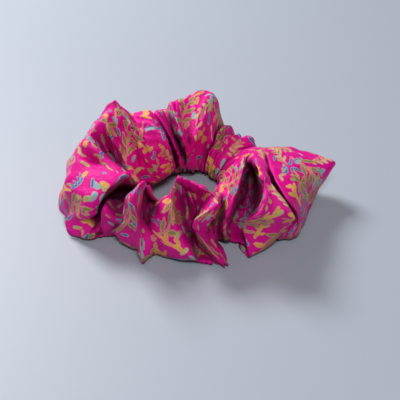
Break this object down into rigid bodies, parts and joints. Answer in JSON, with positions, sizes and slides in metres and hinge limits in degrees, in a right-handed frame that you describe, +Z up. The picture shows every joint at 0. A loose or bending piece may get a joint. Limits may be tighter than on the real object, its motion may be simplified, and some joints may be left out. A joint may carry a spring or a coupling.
{
  "type": "scrunchie",
  "caption": "Fabric hair scrunchie: a long silk sleeve gathered in deep ruffles on a sewn elastic loop that pulls apart sideways.",
  "frame": {"origin": "on the table, under the middle of the scrunchie's box as it lies", "axes": "+Z up, +X the longer way across and the way the ring is pulled open, +Y towards the back puff"},
  "size_m": [0.1238, 0.1092, 0.0469],
  "materials": {
    "silk": "satin silk, magenta with a hand-drawn print in gold, peach, sage and slate blue",
    "elastic": "braided elastic, off-white, matte",
    "thread": "polyester sewing thread, magenta"
  },
  "bodies": {
    "left_half": {"cover_left": "silk", "elastic_left_under_end": "elastic", "elastic_left_over_end": "elastic", "elastic_join_stitches": "thread", "long_seam_thread_left": "thread"},
    "right_half": {"cover_right": "silk", "elastic_right": "elastic", "long_seam_thread_right": "thread", "closing_seam_thread": "thread"}
  },
  "joints": [
    {"name": "stretch", "type": "slide", "parent": "left_half", "child": "right_half", "axis": [1, 0, 0], "range_m": [0, 0.06], "stiffness_N_per_m": 60}
  ]
}
